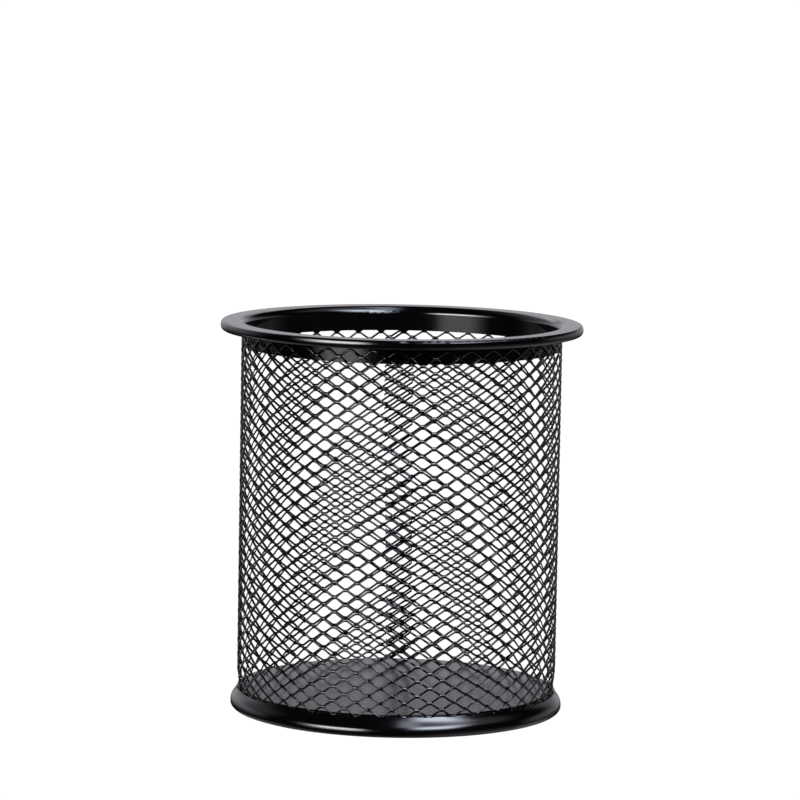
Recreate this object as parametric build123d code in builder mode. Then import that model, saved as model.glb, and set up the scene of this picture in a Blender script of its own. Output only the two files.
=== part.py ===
from build123d import *
from math import cos, radians
import os

"""
Round desk cup for pens: a welded, powder-coated steel cup.

Three pieces, all turned about +Z:
    top_rim    pressed ring: flange that stands outward, curled outer edge, skirt inside the mesh
    mesh_wall  expanded-steel tube, held as a plain thin tube
    base_pan   pressed pan: raised floor, short wall inside the mesh, foot ring and outer bead

Millimetres. +Z is up, and the origin is the middle of the foot ring's underside.
Every profile is drawn on the XZ plane, where the sketch's x is the radius and its y is the height.
"""

# Overall size
rim_radius = 45.0  # outermost point of the curled rim
cup_height = 96.8  # table to the top of the flange

# Sheet and mesh
sheet = 0.5  # steel sheet of both pressings
mesh_radius = 39.85  # outside of the mesh
mesh_depth = 0.6  # how deep the mesh is, from its outer to its inner face

# Top rim
skirt_drop = 6.2  # from the flange's top to the skirt's lower edge
rim_bend = 1.6  # skirt to flange, at the middle of the sheet
curl_bend = 0.45  # flange to the curl's outer face, at the middle of the sheet
curl_face = 2.25  # slightly rounded outer face of the curl, at the middle of the sheet
curl_face_top = 15  # how far that face leans in at its top, in degrees
curl_face_turn = 25  # and how far it turns from there to its lower end
curl_roll = 0.55  # curl rolls under and in over this radius, at the middle of the sheet
curl_roll_turn = 150  # how far round it rolls, in degrees

# Base pan
floor_height = 5.1  # table to the top of the raised floor
floor_bend = 0.65  # floor to wall, at the middle of the sheet
foot_bend = 0.75  # wall to foot ring, at the middle of the sheet
foot_width = 1.05  # flat underside of the foot ring
bead_bend = 0.85  # foot ring to bead, at the middle of the sheet
bead_straight = 0.35  # upright stretch of the bead
bead_shoulder = 2.4  # bead leans in over this radius
bead_lean = 40  # how far it leans in, in degrees
bead_neck = 5.57  # bead turns up again beside the mesh over this radius
bead_neck_turn = 20  # how far it turns back up, in degrees

# Lower edge of the mesh
taper_height = 10.7  # mesh starts to draw in at this height
tuck_height = 4.7  # mesh stands straight again below this height
tuck = 0.5  # how far the lower edge is drawn in

# Worked out from the above
half_sheet = sheet / 2
mesh_inner = mesh_radius - mesh_depth
skirt_line = mesh_inner - half_sheet
flange_line = cup_height - half_sheet
mesh_top = flange_line - rim_bend
curl_bend_width = curl_bend * cos(radians(curl_face_top))
curl_face_bulge = curl_face * (1 - cos(radians(curl_face_top)))
flange_edge = rim_radius - half_sheet - curl_bend_width - curl_face_bulge
wall_line = mesh_inner - tuck - half_sheet
floor_line = floor_height - half_sheet
floor_edge = wall_line - floor_bend
mesh_bottom = half_sheet + foot_bend

os.makedirs("parts", exist_ok=True)


# Top rim: up the skirt, out along the flange, round the curl
with BuildPart() as top_rim:
    with BuildSketch(Plane.XZ):
        with BuildLine():
            skirt = Line((skirt_line, cup_height - skirt_drop), (skirt_line, mesh_top))
            shoulder = JernArc(skirt @ 1, skirt % 1, rim_bend, -90)
            flange = Line(shoulder @ 1, (flange_edge, flange_line))
            edge_arc = JernArc(flange @ 1, flange % 1, curl_bend, curl_face_top - 90)
            edge_face = JernArc(edge_arc @ 1, edge_arc % 1, curl_face, -curl_face_turn)
            JernArc(edge_face @ 1, edge_face % 1, curl_roll, -curl_roll_turn)
        trace(line_width=sheet)
    revolve(axis=Axis.Z)

top_rim.part.label = "top_rim"
export_step(top_rim.part, "parts/top_rim.step")


# Mesh wall: the space the expanded steel fills, drawn in at its lower edge to fit inside the bead
with BuildPart() as mesh_wall:
    with BuildSketch(Plane.XZ):
        with BuildLine():
            Polyline(
                (mesh_inner, mesh_top),
                (mesh_radius, mesh_top),
                (mesh_radius, taper_height),
                (mesh_radius - tuck, tuck_height),
                (mesh_radius - tuck, mesh_bottom),
                (mesh_inner - tuck, mesh_bottom),
                (mesh_inner - tuck, tuck_height),
                (mesh_inner, taper_height),
                close=True,
            )
        make_face()
    revolve(axis=Axis.Z)

mesh_wall.part.label = "mesh_wall"
export_step(mesh_wall.part, "parts/mesh_wall.step")


# Base pan: out along the floor, down the wall, out under the mesh, then up and in round its lower edge
with BuildPart() as base_pan:
    with BuildSketch(Plane.XZ):
        with BuildLine():
            pan_floor = Line((0, floor_line), (floor_edge, floor_line))
            floor_arc = JernArc(pan_floor @ 1, pan_floor % 1, floor_bend, -90)
            wall = Line(floor_arc @ 1, (wall_line, half_sheet + foot_bend))
            foot_arc = JernArc(wall @ 1, wall % 1, foot_bend, 90)
            foot = Line(foot_arc @ 1, foot_arc @ 1 + Vector(foot_width, 0))
            bead_arc = JernArc(foot @ 1, foot % 1, bead_bend, 90)
            bead_side = Line(bead_arc @ 1, bead_arc @ 1 + Vector(0, bead_straight))
            bead_top = JernArc(bead_side @ 1, bead_side % 1, bead_shoulder, bead_lean)
            JernArc(bead_top @ 1, bead_top % 1, bead_neck, -bead_neck_turn)
        trace(line_width=sheet)
    revolve(axis=Axis.Z)

base_pan.part.label = "base_pan"
export_step(base_pan.part, "parts/base_pan.step")
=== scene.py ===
"""Round mesh desk cup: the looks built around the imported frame.

The rim and the base pan are the CAD nodes with better materials. The plain tube mesh_wall is replaced
by the real expanded-steel lattice. Metres, +Z up, the origin under the middle of the foot ring.
"""

import math

import bpy
from mathutils import Matrix, Vector


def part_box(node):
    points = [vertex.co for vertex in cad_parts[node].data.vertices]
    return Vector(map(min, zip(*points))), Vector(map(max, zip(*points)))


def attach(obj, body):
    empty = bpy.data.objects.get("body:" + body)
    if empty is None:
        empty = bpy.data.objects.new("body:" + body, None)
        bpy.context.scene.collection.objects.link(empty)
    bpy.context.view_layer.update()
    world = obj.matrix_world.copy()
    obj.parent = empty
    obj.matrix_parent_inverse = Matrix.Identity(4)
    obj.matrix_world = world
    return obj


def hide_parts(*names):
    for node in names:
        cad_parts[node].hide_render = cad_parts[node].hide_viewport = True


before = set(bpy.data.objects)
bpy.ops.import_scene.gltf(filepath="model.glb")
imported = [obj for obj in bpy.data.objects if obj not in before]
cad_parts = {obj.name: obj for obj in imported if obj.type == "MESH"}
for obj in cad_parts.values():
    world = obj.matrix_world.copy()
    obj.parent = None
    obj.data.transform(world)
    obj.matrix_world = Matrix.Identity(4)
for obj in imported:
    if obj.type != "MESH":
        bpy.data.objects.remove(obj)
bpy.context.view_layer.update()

MM = 0.001

# ---------------------------------------------------------------------------------------------
# Expanded steel: sizes in millimetres, angles in degrees
# ---------------------------------------------------------------------------------------------
CELLS = 42  # diamonds once round the cup
ROW = 3.632  # height of one diamond, from bond to bond
BOND_ANGLE = 16.1  # a column of bonds stands here, measured from -Y towards +X
BOND_HEIGHT = 6.66  # and one of its bonds is this high
STRAND_WIDTH = 0.45  # across the strand, in the sheet
STRAND_DEPTH = 0.26  # through the sheet
STRAND_TILT = 12.0  # how far each strand's face is turned up out of the sheet
BOND_LENGTH = 0.85  # how long two strands stay joined
CORNER = 0.25  # length of the curve where a strand leaves a bond
CORNER_RISE = 0.08  # and how much of the strand's rise it takes
LAP_CELLS = 1.1  # each end of the sheet goes this many half diamonds past the middle of the overlap
LAP_ANGLE = 180.0  # where the overlap is, at the back
LAP_STEP = 0.52  # the outer end rides this far out over the inner one
LAP_RAMP = 9.0  # and gets there over this angle
TUCK = 0.50  # how far the lower edge is drawn in
TUCK_TOP = 10.7  # from this height
TUCK_FOOT = 4.7  # down to this one
EDGE_GAP = 0.1  # the sheet stops this far short of the space it has
EDGE_CALM = 8.0  # its rows are raised less and less over this distance from its edges
UNEVEN_HEIGHTS = (18.0, 72.0)  # two heights at which the real sheet's rows were measured
UNEVEN = (  # an angle, how many degrees the cells are turned there at both heights, how far they are raised
    (-129.0, (-0.72, 0.30), (-0.09, -0.06)),
    (-48.0, (-0.27, -0.51), (-0.49, -0.36)),
    (0.0, (0.0, 0.0), (-0.33, 0.0)),
    (56.0, (1.60, 0.77), (0.10, 0.22)),
    (120.0, (-0.65, 1.41), (0.57, 0.47)),
)

# Worked out from these and from the tube that the sheet replaces
low_corner, high_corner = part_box("mesh_wall")
OUTER_RADIUS = high_corner.x / MM
SHEET_FOOT = low_corner.z / MM + EDGE_GAP
SHEET_TOP = high_corner.z / MM - EDGE_GAP
HALF_CELL_ANGLE = 180.0 / CELLS
HALF_CELL = math.pi * OUTER_RADIUS / CELLS
HALF_ROW = ROW / 2
BOND_SHARE = BOND_LENGTH / 2 / HALF_CELL  # shares of a half cell, counted from the middle of a bond
CORNER_SHARE = CORNER / HALF_CELL
SWING = (HALF_ROW - STRAND_WIDTH) / 2  # a strand's middle line goes this far up and down


def smooth_step(x):
    """From 0 to 1, level at both ends."""
    x = min(max(x, 0.0), 1.0)
    return x * x * (3.0 - 2.0 * x)


def angle_at(u):
    """The angle of a place along the sheet, where u counts half cells from the bond column."""
    return BOND_ANGLE + u * HALF_CELL_ANGLE


def stations():
    """The places along the sheet where strands have a section: (u, inside a bond or not)."""
    start = (LAP_ANGLE - 360.0 - BOND_ANGLE) / HALF_CELL_ANGLE - LAP_CELLS
    end = (LAP_ANGLE - BOND_ANGLE) / HALF_CELL_ANGLE + LAP_CELLS
    clear = 0.02  # keeps sections away from the sheet's two ends
    corner = BOND_SHARE + CORNER_SHARE
    marks = [start]
    for half in range(math.floor(start), math.ceil(end) + 1):
        for share in (BOND_SHARE, corner, 0.5, 1.0 - corner, 1.0 - BOND_SHARE):
            if start + clear < half + share < end - clear:
                marks.append(half + share)
    marks.append(end)
    rounding = 1e-6
    return [(u, abs(u - round(u)) < BOND_SHARE + rounding) for u in marks]


def rise(u):
    """Height of a strand's middle line between its two bond heights: 0 at an even bond, 1 at an odd one."""
    x = abs((u + 1.0) % 2.0 - 1.0)
    if x <= BOND_SHARE:
        return 0.0
    if x >= 1.0 - BOND_SHARE:
        return 1.0
    if x < BOND_SHARE + CORNER_SHARE:
        return CORNER_RISE * ((x - BOND_SHARE) / CORNER_SHARE) ** 2
    if x > 1.0 - BOND_SHARE - CORNER_SHARE:
        return 1.0 - CORNER_RISE * ((1.0 - BOND_SHARE - x) / CORNER_SHARE) ** 2
    straight = 1.0 - 2.0 * (BOND_SHARE + CORNER_SHARE)
    return CORNER_RISE + (1.0 - 2.0 * CORNER_RISE) * (x - BOND_SHARE - CORNER_SHARE) / straight


def wall_radius(z):
    """Outside of the mesh at a height, in millimetres: drawn in near the foot to fit inside the bead."""
    inward = smooth_step((TUCK_TOP - z) / (TUCK_TOP - TUCK_FOOT))
    return OUTER_RADIUS - TUCK * inward


def lap_offset(u):
    """How far the sheet stands out where its outer end lies over its inner end."""
    ramp_start = LAP_ANGLE - LAP_CELLS * HALF_CELL_ANGLE - LAP_RAMP
    return LAP_STEP * smooth_step((angle_at(u) - ramp_start) / LAP_RAMP)


def blend(pair, share):
    """Between the two numbers of a pair."""
    return pair[0] + (pair[1] - pair[0]) * share


def unevenness(angle, z):
    """How far a cell at that angle and height is turned and raised: expanded steel is never quite even."""
    foot, top = UNEVEN_HEIGHTS
    up = min(max((z - foot) / (top - foot), 0.0), 1.0)
    before = after = UNEVEN[0]
    for after in UNEVEN:
        if after[0] >= angle:
            break
        before = after
    gap = after[0] - before[0]
    share = smooth_step((angle - before[0]) / gap) if gap > 0.0 else 0.0
    turn = blend((blend(before[1], up), blend(after[1], up)), share)
    lift = blend((blend(before[2], up), blend(after[2], up)), share)
    return turn, lift


def sheet_point(u, z, inward):
    """A place in the scene, from its place along the sheet, its height and how far in it is."""
    turn, lift = unevenness(angle_at(u), z)
    angle = math.radians(angle_at(u) + turn)
    r = wall_radius(z) - inward + lap_offset(u)
    calm = smooth_step((z - SHEET_FOOT) / EDGE_CALM) * smooth_step((SHEET_TOP - z) / EDGE_CALM)
    height = max(z + lift * calm, SHEET_FOOT)
    return Vector((r * math.sin(angle), -r * math.cos(angle), height)) * MM


def strand_section(strip, u):
    """The four corners of one strand's section: low outer, low inner, high outer, high inner."""
    share = rise(u) if strip % 2 == 0 else 1.0 - rise(u)  # 0 at the foot of its swing, 1 at the top
    middle = BOND_HEIGHT + (strip + 0.5) * HALF_ROW + SWING * (2.0 * share - 1.0)
    step = 0.01  # in half cells, over which the strand's slope is taken
    slope = (rise(u + step) - rise(u - step)) * SWING / (step * HALF_CELL)
    half = STRAND_WIDTH / 2 * math.sqrt(1.0 + slope * slope)  # half its width, measured upright
    tilt = math.radians(STRAND_TILT)
    back = STRAND_DEPTH * math.cos(tilt)  # from the outer to the inner face
    down = STRAND_DEPTH * math.sin(tilt)
    corners = []
    for side in (-1.0, 1.0):
        lean = math.tan(tilt) * half * (side - (2.0 * share - 1.0))  # none where strands are joined
        inward = STRAND_WIDTH * math.sin(tilt) + lean
        z = middle + side * half
        corners.append(sheet_point(u, z, inward))
        corners.append(sheet_point(u, z - down, inward + back))
    return corners


def edge_names(strip, strips, u, bonded):
    """Names of a strand's low and high edge at one station. Two joined strands have one edge in common."""
    at_top = (round(u) % 2 == 1) == (strip % 2 == 0)  # the nearest bond joins it to the strand above
    names = []
    for high, neighbour in ((False, strip - 1), (True, strip + 1)):
        joined = bonded and at_top == high and neighbour in strips
        names.append((min(strip, neighbour), "joint") if joined else (strip, "high" if high else "low"))
    return names


def build_lattice(name):
    """The expanded sheet as one closed mesh: zigzag strands that join their neighbours at the bonds."""
    reach = SWING + STRAND_WIDTH / 2
    first = math.ceil((SHEET_FOOT + reach - BOND_HEIGHT) / HALF_ROW - 0.5)
    last = math.floor((SHEET_TOP - reach - BOND_HEIGHT) / HALF_ROW - 0.5)
    strips = range(first, last + 1)
    marks = stations()
    verts = []
    faces = []
    index = {}
    for strip in strips:
        before = None
        for k, (u, bonded) in enumerate(marks):
            low, high = edge_names(strip, strips, u, bonded)
            keys = [(low, k, "outer"), (low, k, "inner"), (high, k, "outer"), (high, k, "inner")]
            for key, corner in zip(keys, strand_section(strip, u)):
                if key not in index:
                    index[key] = len(verts)
                    verts.append(corner)
            low_outer, low_inner, high_outer, high_inner = (index[key] for key in keys)
            ring = (low_outer, high_outer, high_inner, low_inner)
            open_sides = (True, high[1] != "joint", True, low[1] != "joint")  # outer, top, inner, underside
            if before is None:
                faces.append(ring)
            else:
                old_ring, old_open = before
                for side in range(4):
                    if open_sides[side] or old_open[side]:
                        other = (side + 1) % 4
                        faces.append((old_ring[other], old_ring[side], ring[side], ring[other]))
            before = ring, open_sides
        faces.append(ring[::-1])

    mesh = bpy.data.meshes.new(name)
    mesh.from_pydata(verts, [], faces)
    mesh.validate()
    for polygon in mesh.polygons:
        polygon.use_smooth = True
    lattice = bpy.data.objects.new(name, mesh)
    bpy.context.scene.collection.objects.link(lattice)
    return lattice


# ---------------------------------------------------------------------------------------------
# Materials
# ---------------------------------------------------------------------------------------------
COATS = {  # colour, roughness, then how many orange-peel bumps to the metre and how strong they are
    "rim_coat": ((0.0010, 0.0009, 0.0011), 0.11, 2200.0, 0.25),
    "base_coat": ((0.0010, 0.0009, 0.0011), 0.13, 1800.0, 0.12),
    "mesh_coat": ((0.0008, 0.0007, 0.0009), 0.12, 3000.0, 0.20),
}
CLOUD_SCALE = 90.0  # soft clouds, so many to the metre, in which the tone and the gloss change a little
CLOUD_DETAIL = 3.0
CLOUD_TONE = 0.25  # share by which the tone changes, darker and lighter
CLOUD_GLOSS = 0.15  # and the roughness
PEEL_DETAIL = 2.0
PEEL_HEIGHT = 0.02 * MM  # height of the orange peel's bumps


def powder_coat(name):
    """Black powder coat: fine orange-peel bumps, with a slightly uneven tone and gloss."""
    color, roughness, peel_scale, peel_strength = COATS[name]
    material = bpy.data.materials.new(name)
    material.use_nodes = True
    nodes = material.node_tree.nodes
    links = material.node_tree.links
    shader = nodes["Principled BSDF"]
    shader.inputs["Metallic"].default_value = 0.0
    place = nodes.new("ShaderNodeTexCoord")

    cloud = nodes.new("ShaderNodeTexNoise")
    cloud.inputs["Scale"].default_value = CLOUD_SCALE
    cloud.inputs["Detail"].default_value = CLOUD_DETAIL
    links.new(place.outputs["Object"], cloud.inputs["Vector"])

    tone = nodes.new("ShaderNodeMix")
    tone.data_type = "RGBA"
    tone.inputs["A"].default_value = (*[c * (1.0 - CLOUD_TONE) for c in color], 1.0)
    tone.inputs["B"].default_value = (*[c * (1.0 + CLOUD_TONE) for c in color], 1.0)
    links.new(cloud.outputs["Fac"], tone.inputs["Factor"])
    links.new(tone.outputs["Result"], shader.inputs["Base Color"])

    gloss = nodes.new("ShaderNodeMapRange")
    gloss.inputs["To Min"].default_value = roughness * (1.0 - CLOUD_GLOSS)
    gloss.inputs["To Max"].default_value = roughness * (1.0 + CLOUD_GLOSS)
    links.new(cloud.outputs["Fac"], gloss.inputs["Value"])
    links.new(gloss.outputs["Result"], shader.inputs["Roughness"])

    peel = nodes.new("ShaderNodeTexNoise")
    peel.inputs["Scale"].default_value = peel_scale
    peel.inputs["Detail"].default_value = PEEL_DETAIL
    links.new(place.outputs["Object"], peel.inputs["Vector"])
    relief = nodes.new("ShaderNodeBump")
    relief.inputs["Strength"].default_value = peel_strength
    relief.inputs["Distance"].default_value = PEEL_HEIGHT
    links.new(peel.outputs["Fac"], relief.inputs["Height"])
    links.new(relief.outputs["Normal"], shader.inputs["Normal"])
    return material


def dress(piece, material):
    """Gives a piece its one material."""
    piece.data.materials.clear()
    piece.data.materials.append(material)


# ---------------------------------------------------------------------------------------------
# Object
# ---------------------------------------------------------------------------------------------
mesh_sheet = build_lattice("mesh_sheet")
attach(mesh_sheet, "root")
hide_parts("mesh_wall")

dress(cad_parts["top_rim"], powder_coat("rim_coat"))
dress(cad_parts["base_pan"], powder_coat("base_coat"))
dress(mesh_sheet, powder_coat("mesh_coat"))


# ---------------------------------------------------------------------------------------------
# Stage, lights and camera
# ---------------------------------------------------------------------------------------------
FLOOR_SIZE = 40.0  # from its middle to its sides
FLOOR_DROP = 0.05 * MM  # how far the floor lies below the cup's foot
FLOOR_TONE = 0.01  # nearly black, so the floor's white is its glow
FLOOR_GLOW = 1.02  # just past white

# Soft lights: radiance, colour, then for the direction's X, Y and Z the middle, the half width at full
# strength and the half width at which the light ends. -Y is in front of the cup.
LIGHTS = {
    "key": (17.0, (0.80, 0.86, 1.0), (0.42, 0.08, 0.32), (-0.9, 0.5, 0.8), (0.55, 0.05, 0.32)),
    "key_edge": (4.4, (0.80, 0.86, 1.0), (0.13, 0.03, 0.14), (-0.6, 0.7, 0.9), (0.95, 0.10, 0.40)),
    "key_top": (1.0, (0.80, 0.86, 1.0), (0.33, 0.10, 0.33), (-0.6, 0.7, 0.9), (0.90, 0.20, 0.45)),
    "strip": (18.0, (1.0, 0.985, 1.0), (-0.62, 0.10, 0.34), (-0.8, 0.5, 0.7), (0.11, 0.05, 0.19)),
    "strip_foot": (2.5, (1.0, 0.96, 1.0), (-0.66, 0.10, 0.28), (-0.8, 0.5, 0.7), (-0.09, 0.03, 0.07)),
    "back": (1.4, (1.0, 0.98, 1.0), (-0.1, 0.15, 0.45), (0.9, 0.30, 0.60), (0.45, 0.06, 0.22)),
    "fill": (0.5, (0.95, 0.90, 1.0), (0.80, 0.20, 0.50), (-0.3, 0.2, 0.7), (0.80, 0.10, 0.35)),
    "wall": (0.46, (0.96, 0.92, 1.0), (0.0, 2.0, 3.0), (1.0, 0.50, 0.95), (0.08, 0.06, 0.30)),
    "wall_left": (0.43, (0.97, 0.88, 1.0), (-0.9, 0.35, 0.80), (1.0, 0.40, 1.0), (0.45, 0.20, 0.50)),
    "window": (0.16, (0.96, 0.92, 1.0), (0.0, 0.30, 0.70), (1.0, 0.05, 0.25), (0.12, 0.12, 0.30)),
    "table": (0.26, (0.97, 0.93, 1.0), (0.3, 0.40, 1.30), (0.3, 0.60, 1.00), (-1.0, 0.15, 0.70)),
    "table_right": (0.40, (0.97, 0.93, 1.0), (0.8, 0.20, 0.80), (0.0, 0.60, 1.00), (-0.7, 0.25, 0.65)),
    "table_left": (0.45, (0.97, 0.93, 1.0), (-0.8, 0.20, 0.60), (0.4, 0.35, 0.65), (-0.7, 0.20, 0.50)),
}

SENSOR = 36.0  # sensor and lens in millimetres
LENS = 189.48
CAMERA_PLACE = (0.0, -1.0392, 0.2035)
CAMERA_PAN = 0.0002  # radians, to the left
CAMERA_DOWN = 0.1209
CAMERA_ROLL = 0.0177  # about its own axis


def make_floor():
    """A wide white table top that only glows. Lit as well, it would be over-exposed and would eat into the
    thin strands in front of it. Reflections get their floor light from the world, which is dimmer."""
    mesh = bpy.data.meshes.new("floor")
    corners = [(x * FLOOR_SIZE, y * FLOOR_SIZE, 0.0) for x, y in ((-1, -1), (1, -1), (1, 1), (-1, 1))]
    mesh.from_pydata(corners, [], [(0, 1, 2, 3)])
    floor = bpy.data.objects.new("floor", mesh)
    floor.location.z = -FLOOR_DROP
    floor.visible_glossy = False
    floor.visible_diffuse = False
    floor.visible_shadow = False
    bpy.context.scene.collection.objects.link(floor)
    material = bpy.data.materials.new("floor_paint")
    material.use_nodes = True
    shader = material.node_tree.nodes["Principled BSDF"]
    shader.inputs["Base Color"].default_value = (FLOOR_TONE, FLOOR_TONE, FLOOR_TONE, 1.0)
    shader.inputs["Roughness"].default_value = 0.9
    shader.inputs["Specular IOR Level"].default_value = 0.0
    shader.inputs["Emission Color"].default_value = (1.0, 1.0, 1.0, 1.0)
    shader.inputs["Emission Strength"].default_value = FLOOR_GLOW
    dress(floor, material)


def add_ramp(nodes, links, source, low, high, low_value, high_value):
    """A smooth ramp of one value."""
    ramp = nodes.new("ShaderNodeMapRange")
    ramp.interpolation_type = "SMOOTHSTEP"
    ramp.inputs["From Min"].default_value = low
    ramp.inputs["From Max"].default_value = high
    ramp.inputs["To Min"].default_value = low_value
    ramp.inputs["To Max"].default_value = high_value
    links.new(source, ramp.inputs["Value"])
    return ramp.outputs["Result"]


def add_math(nodes, links, operation, first, second=0.0):
    """One step of arithmetic. The second is a plain number or another value, if the step needs one."""
    node = nodes.new("ShaderNodeMath")
    node.operation = operation
    links.new(first, node.inputs[0])
    if isinstance(second, float):
        node.inputs[1].default_value = second
    else:
        links.new(second, node.inputs[1])
    return node.outputs["Value"]


def add_band(nodes, links, source, middle, inner, outer):
    """1 within inner of the middle, 0 beyond outer, smooth between."""
    offset = add_math(nodes, links, "SUBTRACT", source, middle)
    distance = add_math(nodes, links, "ABSOLUTE", offset)
    return add_ramp(nodes, links, distance, inner, outer, 1.0, 0.0)


def add_light(nodes, links, direction, radiance, color, bands):
    """One soft light, at full strength where the direction is well inside all three bands."""
    strength = None
    for axis, band in zip("XYZ", bands):
        share = add_band(nodes, links, direction.outputs[axis], *band)
        strength = share if strength is None else add_math(nodes, links, "MULTIPLY", strength, share)
    light = nodes.new("ShaderNodeBackground")
    light.inputs["Color"].default_value = (*color, 1.0)
    links.new(add_math(nodes, links, "MULTIPLY", strength, radiance), light.inputs["Strength"])
    return light.outputs["Background"]


def make_world():
    """White for the eye, and soft lights in the dark for everything else."""
    world = bpy.data.worlds.new("studio")
    world.use_nodes = True
    bpy.context.scene.world = world
    nodes = world.node_tree.nodes
    links = world.node_tree.links
    nodes.clear()
    out = nodes.new("ShaderNodeOutputWorld")
    seen = nodes.new("ShaderNodeBackground")
    seen.inputs["Strength"].default_value = 1.0
    seen.inputs["Color"].default_value = (1.0, 1.0, 1.0, 1.0)
    place = nodes.new("ShaderNodeTexCoord")
    direction = nodes.new("ShaderNodeSeparateXYZ")
    links.new(place.outputs["Generated"], direction.inputs["Vector"])
    total = None
    for radiance, color, *bands in LIGHTS.values():
        light = add_light(nodes, links, direction, radiance, color, bands)
        if total is None:
            total = light
            continue
        both = nodes.new("ShaderNodeAddShader")
        links.new(total, both.inputs[0])
        links.new(light, both.inputs[1])
        total = both.outputs["Shader"]
    path = nodes.new("ShaderNodeLightPath")
    mix = nodes.new("ShaderNodeMixShader")
    links.new(path.outputs["Is Camera Ray"], mix.inputs["Fac"])
    links.new(total, mix.inputs[1])
    links.new(seen.outputs["Background"], mix.inputs[2])
    links.new(mix.outputs["Shader"], out.inputs["Surface"])


def make_camera():
    """A long lens in front of the cup, a little above it, looking down."""
    data = bpy.data.cameras.new("camera")
    data.sensor_width = SENSOR
    data.lens = LENS
    camera = bpy.data.objects.new("camera", data)
    camera.matrix_world = (
        Matrix.Translation(CAMERA_PLACE)
        @ Matrix.Rotation(CAMERA_PAN, 4, "Z")
        @ Matrix.Rotation(math.pi / 2 - CAMERA_DOWN, 4, "X")
        @ Matrix.Rotation(CAMERA_ROLL, 4, "Z")
    )
    bpy.context.scene.collection.objects.link(camera)
    bpy.context.scene.camera = camera


make_floor()
make_world()
make_camera()
bpy.context.scene.view_settings.view_transform = "Standard"
